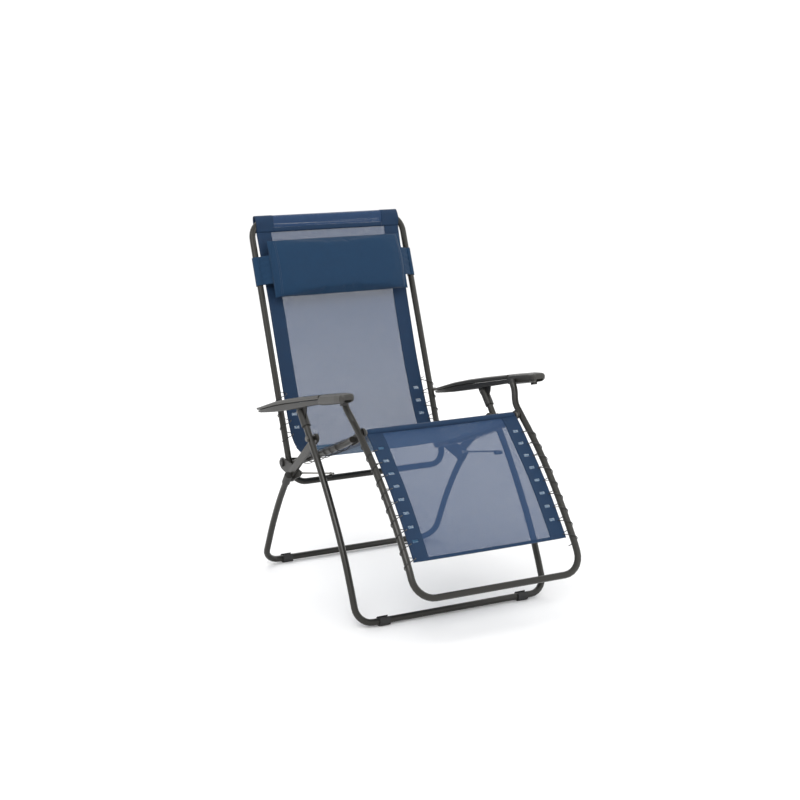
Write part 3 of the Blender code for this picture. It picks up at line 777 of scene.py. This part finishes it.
def sleeve_piece(name, stations, mat, thickness, lift=0.0, rows=None):
    bm = bmesh.new()
    uv = bm.loops.layers.uv.new("UVMap")
    flat = {}
    grid = []
    for x in stations:
        line = []
        profile = sleeve_profile(x)
        s = 0.0
        last = None
        for up, out in profile[rows] if rows else profile:
            here = (up, out)
            if last:
                s += math.dist(last, here)
            last = here
            side = math.copysign(lift, out)
            p = on_back(x, BAR_Z, out + side) + BACK_UP * up
            v = bm.verts.new(p)
            flat[v] = (x, s)
            line.append(v)
        grid.append(line)
    for a, b in zip(grid, grid[1:]):
        for k in range(len(a) - 1):
            bm.faces.new((a[k], b[k], b[k + 1], a[k + 1]))
    bmesh.ops.recalc_face_normals(bm, faces=bm.faces)
    for face in bm.faces:
        for loop in face.loops:
            loop[uv].uv = flat[loop.vert]
    piece = new_piece(name, bm, mat)
    if thickness:
        solid = piece.modifiers.new("cloth", "SOLIDIFY")
        solid.thickness = thickness
        solid.offset = 0
    return piece


middle = np.linspace(-(SLEEVE_HALF - MITRE), SLEEVE_HALF - MITRE, 41)
sleeve = sleeve_piece("top_sleeve_mesh", middle, MESH, 0.0)
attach(sleeve, "backrest")
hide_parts("top_sleeve")
ends = []
for side, sign in (("left", -1), ("right", 1)):
    xs = np.linspace(sign * (SLEEVE_HALF - MITRE - 0.0015), sign * SLEEVE_HALF, 22)
    ear = sleeve_piece(f"top_sleeve_corner_{side}", xs, HEM_NAVY, 0.0018)
    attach(ear, "backrest")
    ends.append(ear)
for face, rows in (("front", slice(0, 4)), ("rear", slice(-4, None))):
    band = sleeve_piece(f"top_sleeve_seam_{face}", middle, HEM_NAVY, 0.0016, 0.0002, rows)
    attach(band, "backrest")
    ends.append(band)

# ---------------------------------------------------------------- headrest pillow
PILLOW_OUT = 0.0315
PILLOW_HALF = 0.2380
PILLOW_TALL = 0.0930
SEAM_X = 0.2200


def pillow_start():
    """The slack cushion case, a flat lens with rounded corners, before it is filled."""
    bm = bmesh.new()
    nx, nz = 48, 22
    layers = []
    half_x, half_z = PILLOW_HALF - 0.003, PILLOW_TALL - 0.003
    for sign in (1, -1):
        grid = []
        for i in range(nz + 1):
            row = []
            for k in range(nx + 1):
                u, w = -1 + 2 * k / nx, -1 + 2 * i / nz
                thick = 0.0185 * (1 - u**8) ** 0.5 * (1 - w**4) ** 0.5 + 0.0006
                row.append(bm.verts.new((u * half_x, w * half_z, sign * thick)))
            grid.append(row)
        layers.append(grid)
    for side, grid in enumerate(layers):
        for i in range(nz):
            for k in range(nx):
                loop = (grid[i][k], grid[i][k + 1], grid[i + 1][k + 1], grid[i + 1][k])
                bm.faces.new(loop if side == 0 else loop[::-1])
    top, low = layers
    rim = [(0, k) for k in range(nx)] + [(i, nx) for i in range(nz)]
    rim += [(nz, k) for k in range(nx, 0, -1)] + [(i, 0) for i in range(nz, 0, -1)]
    for a, b in zip(rim, rim[1:] + rim[:1]):
        bm.faces.new((top[b[0]][b[1]], top[a[0]][a[1]], low[a[0]][a[1]], low[b[0]][b[1]]))
    bmesh.ops.recalc_face_normals(bm, faces=bm.faces)
    return bm


def select_only(obj):
    bpy.ops.object.select_all(action="DESELECT")
    obj.select_set(True)
    bpy.context.view_layer.objects.active = obj


def inflate(obj, voxel, pressure, cap):
    """Fill a cushion with a cloth simulation, no point moving further than the cap."""
    select_only(obj)
    remesh = obj.modifiers.new("remesh", "REMESH")
    remesh.mode = "VOXEL"
    remesh.voxel_size = voxel
    bpy.ops.object.modifier_apply(modifier="remesh")
    before = np.array([v.co for v in obj.data.vertices])
    cloth = obj.modifiers.new("cloth", "CLOTH")
    cloth.settings.use_pressure = True
    cloth.settings.uniform_pressure_force = pressure
    cloth.settings.effector_weights.gravity = 0
    cloth.settings.quality = 6
    cloth.settings.tension_stiffness = 18
    cloth.settings.compression_stiffness = 12
    cloth.settings.bending_stiffness = 0.4
    cloth.point_cache.frame_start = 1
    cloth.point_cache.frame_end = 20
    scene = bpy.context.scene
    for step in range(1, 21):
        scene.frame_set(step)
    bpy.ops.object.modifier_apply(modifier="cloth")
    scene.frame_set(1)
    after = np.array([v.co for v in obj.data.vertices])
    move = after - before
    far = np.linalg.norm(move, axis=1)
    move *= np.minimum(1, cap / np.maximum(far, 1e-9))[:, None]
    obj.data.vertices.foreach_set("co", (before + move).ravel())
    obj.data.update()


def creased(co):
    """The sewn line across each end of the pillow, and the flat ends outside it."""
    x = abs(co.x)
    dip = math.exp(-(((x - SEAM_X) / 0.0042) ** 2))
    thin = 1 - 0.50 * dip
    if x > SEAM_X:
        t = min(1.0, (x - SEAM_X) / 0.012)
        thin *= 1 - 0.25 * t
    return thin


pillow_bm = pillow_start()
pillow = new_piece("pillow", pillow_bm, CANVAS)
inflate(pillow, 0.005, 2.5, 0.009)
for v in pillow.data.vertices:
    v.co.z *= creased(v.co)
# the filled case is stretched back to its sewn outline, which the straps hold straight
for across, along, half in ((0, 1, PILLOW_TALL), (1, 0, PILLOW_HALF)):
    size = np.array([v.co for v in pillow.data.vertices])
    bins = np.linspace(size[:, across].min(), size[:, across].max(), 25)
    middle_of = (bins[1:] + bins[:-1]) / 2
    place = np.clip(np.digitize(size[:, across], bins) - 1, 0, len(middle_of) - 1)
    edge_at = np.array([np.abs(size[place == k, along]).max() for k in range(len(middle_of))])
    edge_at = np.convolve(np.pad(edge_at, 1, mode="edge"), (0.25, 0.5, 0.25), "valid")
    for v in pillow.data.vertices:
        v.co[along] *= half / float(np.interp(v.co[across], middle_of, edge_at))
thickest = max(v.co.z for v in pillow.data.vertices)
for v in pillow.data.vertices:
    v.co.x = max(-PILLOW_HALF, min(PILLOW_HALF, v.co.x))
    v.co.y = max(-PILLOW_TALL, min(PILLOW_TALL, v.co.y))
    # the back of the pillow lies on the mesh
    v.co.z *= 0.0270 / thickest * (0.80 if v.co.z < 0 else 1.0)
smooth = pillow.modifiers.new("smooth", "SUBSURF")
smooth.levels = smooth.render_levels = 1
select_only(pillow)
bpy.ops.object.modifier_apply(modifier="smooth")
for face in pillow.data.polygons:
    face.use_smooth = True
placing = Matrix.Translation(on_back(0, PILLOW_Z, PILLOW_OUT - 0.003)) @ Matrix(
    ((1, 0, 0, 0), (0, BACK_UP.y, BACK_OUT.y, 0), (0, BACK_UP.z, BACK_OUT.z, 0), (0, 0, 0, 1))
)
pillow.data.transform(placing)
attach(pillow, "pillow")
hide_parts("headrest_pillow")

# two rows of stitches across each end of the pillow, on its front
stitch_bm = bmesh.new()
ray_from = PILLOW_OUT + 0.06
pillow_points = [v.co for v in pillow.data.vertices]
pillow_tree = BVHTree.FromPolygons(pillow_points, [f.vertices for f in pillow.data.polygons])
for sign in (1, -1):
    for x in (SEAM_X, SEAM_X - 0.0045):
        for v in np.arange(-PILLOW_TALL + 0.008, PILLOW_TALL - 0.010, 0.0048):
            ends = []
            for w in (v, v + 0.0030):
                start = on_back(sign * x, PILLOW_Z, ray_from) + BACK_UP * w
                hit = pillow_tree.ray_cast(start, -BACK_OUT)[0]
                if hit:
                    ends.append(hit + BACK_OUT * 0.0005)
            if len(ends) == 2:
                stitch_bm = merge(stitch_bm, tube(ends, 0.00045, 5))
pillow_stitches = new_piece("pillow_end_stitches", stitch_bm, THREAD, "pillow")

# flaps from the pillow's ends round the backrest's tubes, drawn shut with a cord
BAND_TALL = 0.0460
BAND_R = TUBE_R + 0.0022


def flap_path(sign):
    """The flap's course across the chair: from the pillow's end, forward of the tube and round it."""
    course = [Vector((sign * (PILLOW_HALF - 0.010), 0.0, PILLOW_OUT - 0.004))]
    course.append(Vector((sign * (PILLOW_HALF + 0.004), 0.0, PILLOW_OUT - 0.0085)))
    for a in np.radians(np.linspace(118, -120, 22)):
        course.append(Vector((sign * (SIDE_X + BAND_R * math.cos(a)), 0.0, BAND_R * math.sin(a))))
    return course


for side, sign in (("left", -1), ("right", 1)):
    course = by_length(catmull(flap_path(sign), 4)[:, [0, 2]], 0.0025)
    bm = bmesh.new()
    uv = bm.loops.layers.uv.new("UVMap")
    flat = {}
    grid = []
    for (x, out), s in zip(course[0], course[1]):
        row = []
        for w in np.linspace(-1, 1, 21):
            pucker = 0.0007 * math.sin(14 * w + 60 * s)
            lift = pucker if abs(x) < SIDE_X else 0
            v = bm.verts.new(on_back(x, PILLOW_Z, out + lift) + BACK_UP * (w * BAND_TALL))
            flat[v] = (s, w * BAND_TALL)
            row.append(v)
        grid.append(row)
    for low, high in zip(grid, grid[1:]):
        for k in range(len(low) - 1):
            bm.faces.new((low[k], low[k + 1], high[k + 1], high[k]))
    bmesh.ops.recalc_face_normals(bm, faces=bm.faces)
    for face in bm.faces:
        for loop in face.loops:
            loop[uv].uv = flat[loop.vert]
    flap = new_piece(f"pillow_flap_{side}", bm, CANVAS, "pillow")
    solid = flap.modifiers.new("cloth", "SOLIDIFY")
    solid.thickness = 0.0012
    solid.offset = 0
    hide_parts(f"pillow_strap_{side}")

# ---------------------------------------------------------------- camera, light and floor
camera_data = bpy.data.cameras.new("camera")
camera_data.sensor_width = 36
camera_data.lens = 73.4
camera = bpy.data.objects.new("camera", camera_data)
camera.location = (-2.305, -4.316 + SHIFT, 1.629)
camera.rotation_euler = Vector((0.4607, 0.8624, -0.2100)).to_track_quat("-Z", "Y").to_euler()
bpy.context.scene.collection.objects.link(camera)
bpy.context.scene.camera = camera


def lamp(name, place, target, size, power, colour=(1, 1, 1)):
    data = bpy.data.lights.new(name, "AREA")
    data.shape = "RECTANGLE"
    data.size = data.size_y = size
    data.energy = power
    data.color = colour
    obj = bpy.data.objects.new(name, data)
    obj.location = place
    obj.rotation_euler = (Vector(target) - Vector(place)).to_track_quat("-Z", "Y").to_euler()
    bpy.context.scene.collection.objects.link(obj)
    return obj


lamp("key", (-2.6, -3.0, 4.2), (0, 0, 0.5), 2.2, 95)
lamp("fill", (3.4, -2.4, 2.6), (0, 0, 0.5), 3.0, 30)
lamp("rim", (0.5, 3.6, 3.4), (0, 0, 0.6), 2.6, 45)

world = bpy.data.worlds.new("studio")
world.use_nodes = True
sky = world.node_tree.nodes["Background"]
sky.inputs["Color"].default_value = (1, 1, 1, 1)
sky.inputs["Strength"].default_value = 1.12
bpy.context.scene.world = world
bpy.context.scene.view_settings.view_transform = "Standard"

floor_tree = Tree("pale_floor")
floor_tint = floor_tree.mix(floor_tree.noise(1.5, 3.0), (0.90, 0.90, 0.90), (0.92, 0.92, 0.92))
floor_mat = floor_tree.set(Base_Color=floor_tint, Roughness=0.9, Specular_IOR_Level=0.1)
floor_bm = bmesh.new()
bmesh.ops.create_grid(floor_bm, x_segments=1, y_segments=1, size=200)
floor = new_piece("floor", floor_bm, floor_mat, smooth=False)
floor.location.z = -0.0002
